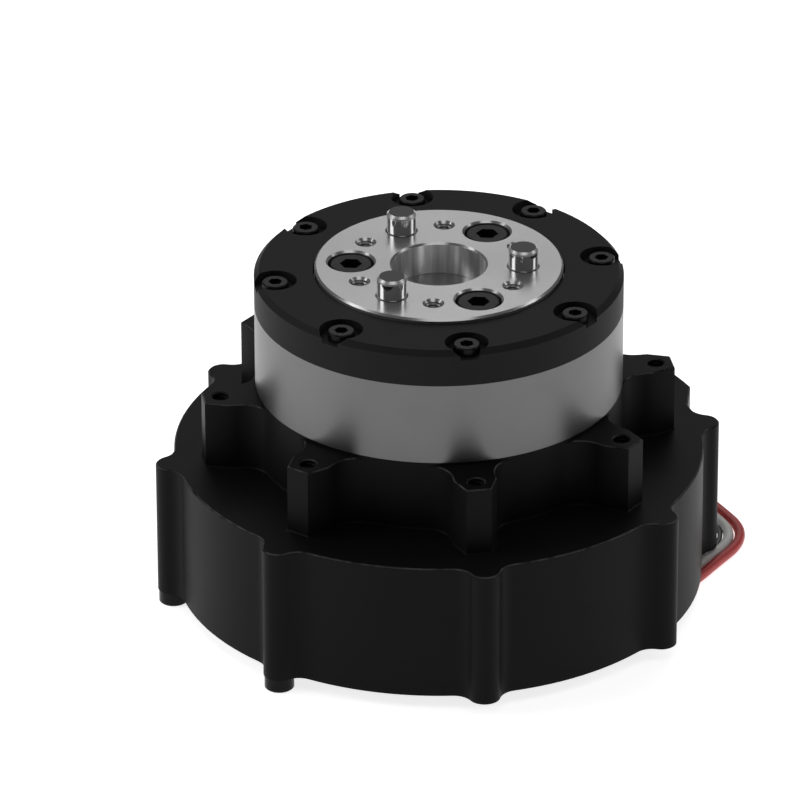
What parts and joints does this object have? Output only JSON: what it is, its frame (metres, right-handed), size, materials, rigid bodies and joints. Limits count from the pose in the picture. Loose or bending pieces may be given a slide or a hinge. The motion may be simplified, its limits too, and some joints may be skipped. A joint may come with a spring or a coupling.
{
  "type": "planetary gear motor",
  "caption": "Flat brushless motor with a planetary gearbox: lobed black housing with mounting towers, steel ring gear, black front cover and a flat output flange with locating pins.",
  "frame": {"origin": "centre of the flat face that the motor stands on, on the output axis", "axes": "+Z along the output axis, out of the output flange; +X towards the side where the leads run out"},
  "size_m": [0.1226, 0.1244, 0.077],
  "materials": {
    "black_casting": "fine matt black over cast aluminium",
    "black_cover": "black anodised, fine matt",
    "ring_steel": "turned steel",
    "flange_metal": "brushed, bright",
    "pin_steel": "ground and polished",
    "screw_black": "black oxide",
    "gear_steel": "ground",
    "bearing_steel": "ground",
    "bronze": "bronze bush",
    "rotor_steel": "turned",
    "magnet": "nickel plated",
    "core_steel": "laminated, varnished",
    "copper": "enamelled copper",
    "base_aluminium": "machined",
    "board": "green solder mask",
    "spacer_nylon": "nylon",
    "grommet_rubber": "soft black",
    "lead_red": "silicone, red",
    "lead_light": "silicone, light grey",
    "lead_dark": "dark grey",
    "lead_pale": "pale grey"
  },
  "bodies": {
    "motor": {"motor_housing": "black_casting", "rear_cover": "black_casting", "lead_grommet": "grommet_rubber", "lobe_screws": "screw_black", "ring_gear": "ring_steel", "front_cover": "black_cover", "front_cover_screws": "screw_black", "stator_core": "core_steel", "stator_windings": "copper", "stator_base": "base_aluminium", "driver_board": "board", "board_spacers": "spacer_nylon", "board_screws": "screw_black", "bearing_retainer": "gear_steel", "power_lead_red": "lead_red", "power_lead_light": "lead_light", "signal_lead_dark": "lead_dark", "signal_lead_pale": "lead_pale", "output_bearing_outer_race": "bearing_steel", "carrier_bearing_outer_race": "bearing_steel", "front_rotor_bearing_outer_race": "bearing_steel", "rear_rotor_bearing_outer_race": "bearing_steel"},
    "output": {"planet_carrier": "gear_steel", "output_flange": "flange_metal", "carrier_screws": "screw_black", "planet_pins": "pin_steel", "output_bearing_inner_race": "bearing_steel", "carrier_bearing_inner_race": "bearing_steel"},
    "rotor": {"rotor_cup": "rotor_steel", "rotor_magnets": "magnet", "sun_shaft": "gear_steel", "sensor_magnet": "magnet", "front_rotor_bearing_inner_race": "bearing_steel", "rear_rotor_bearing_inner_race": "bearing_steel"},
    "planet_1": {"planet_gear_1": "gear_steel", "planet_bush_1": "bronze"},
    "planet_2": {"planet_gear_2": "gear_steel", "planet_bush_2": "bronze"},
    "planet_3": {"planet_gear_3": "gear_steel", "planet_bush_3": "bronze"},
    "output_bearing_ball_set": {"output_bearing_balls": "bearing_steel"},
    "carrier_bearing_ball_set": {"carrier_bearing_balls": "bearing_steel"},
    "front_rotor_bearing_ball_set": {"front_rotor_bearing_balls": "bearing_steel"},
    "rear_rotor_bearing_ball_set": {"rear_rotor_bearing_balls": "bearing_steel"}
  },
  "joints": [
    {"name": "output_spin", "type": "hinge", "parent": "motor", "child": "output", "pos_m": [0, 0, 0.0712], "axis": [0, 0, 1], "continuous": true},
    {"name": "rotor_spin", "type": "hinge", "parent": "motor", "child": "rotor", "pos_m": [0, 0, 0.027], "axis": [0, 0, 1], "continuous": true},
    {"name": "planet_1_spin", "type": "hinge", "parent": "output", "child": "planet_1", "pos_m": [-0.00763, 0.0153, 0.05825], "axis": [0, 0, 1], "continuous": true},
    {"name": "planet_2_spin", "type": "hinge", "parent": "output", "child": "planet_2", "pos_m": [-0.00944, -0.01426, 0.05825], "axis": [0, 0, 1], "continuous": true},
    {"name": "planet_3_spin", "type": "hinge", "parent": "output", "child": "planet_3", "pos_m": [0.01707, -0.00104, 0.05825], "axis": [0, 0, 1], "continuous": true},
    {"name": "output_bearing_ball_set_spin", "type": "hinge", "parent": "motor", "child": "output_bearing_ball_set", "pos_m": [0, 0, 0.0677], "axis": [0, 0, 1], "continuous": true},
    {"name": "carrier_bearing_ball_set_spin", "type": "hinge", "parent": "motor", "child": "carrier_bearing_ball_set", "pos_m": [0, 0, 0.0434], "axis": [0, 0, 1], "continuous": true},
    {"name": "front_rotor_bearing_ball_set_spin", "type": "hinge", "parent": "motor", "child": "front_rotor_bearing_ball_set", "pos_m": [0, 0, 0.0354], "axis": [0, 0, 1], "continuous": true},
    {"name": "rear_rotor_bearing_ball_set_spin", "type": "hinge", "parent": "motor", "child": "rear_rotor_bearing_ball_set", "pos_m": [0, 0, 0.0165], "axis": [0, 0, 1], "continuous": true}
  ],
  "couplings": [
    {"joint": "rotor_spin", "follows": "output_spin", "ratio": 5.7},
    {"joint": "planet_1_spin", "follows": "output_spin", "ratio": -2.5405},
    {"joint": "planet_2_spin", "follows": "output_spin", "ratio": -2.5405},
    {"joint": "planet_3_spin", "follows": "output_spin", "ratio": -2.5405},
    {"joint": "output_bearing_ball_set_spin", "follows": "output_spin", "ratio": 0.47308},
    {"joint": "carrier_bearing_ball_set_spin", "follows": "output_spin", "ratio": 0.45},
    {"joint": "front_rotor_bearing_ball_set_spin", "follows": "output_spin", "ratio": 2.47},
    {"joint": "rear_rotor_bearing_ball_set_spin", "follows": "output_spin", "ratio": 2.47}
  ]
}
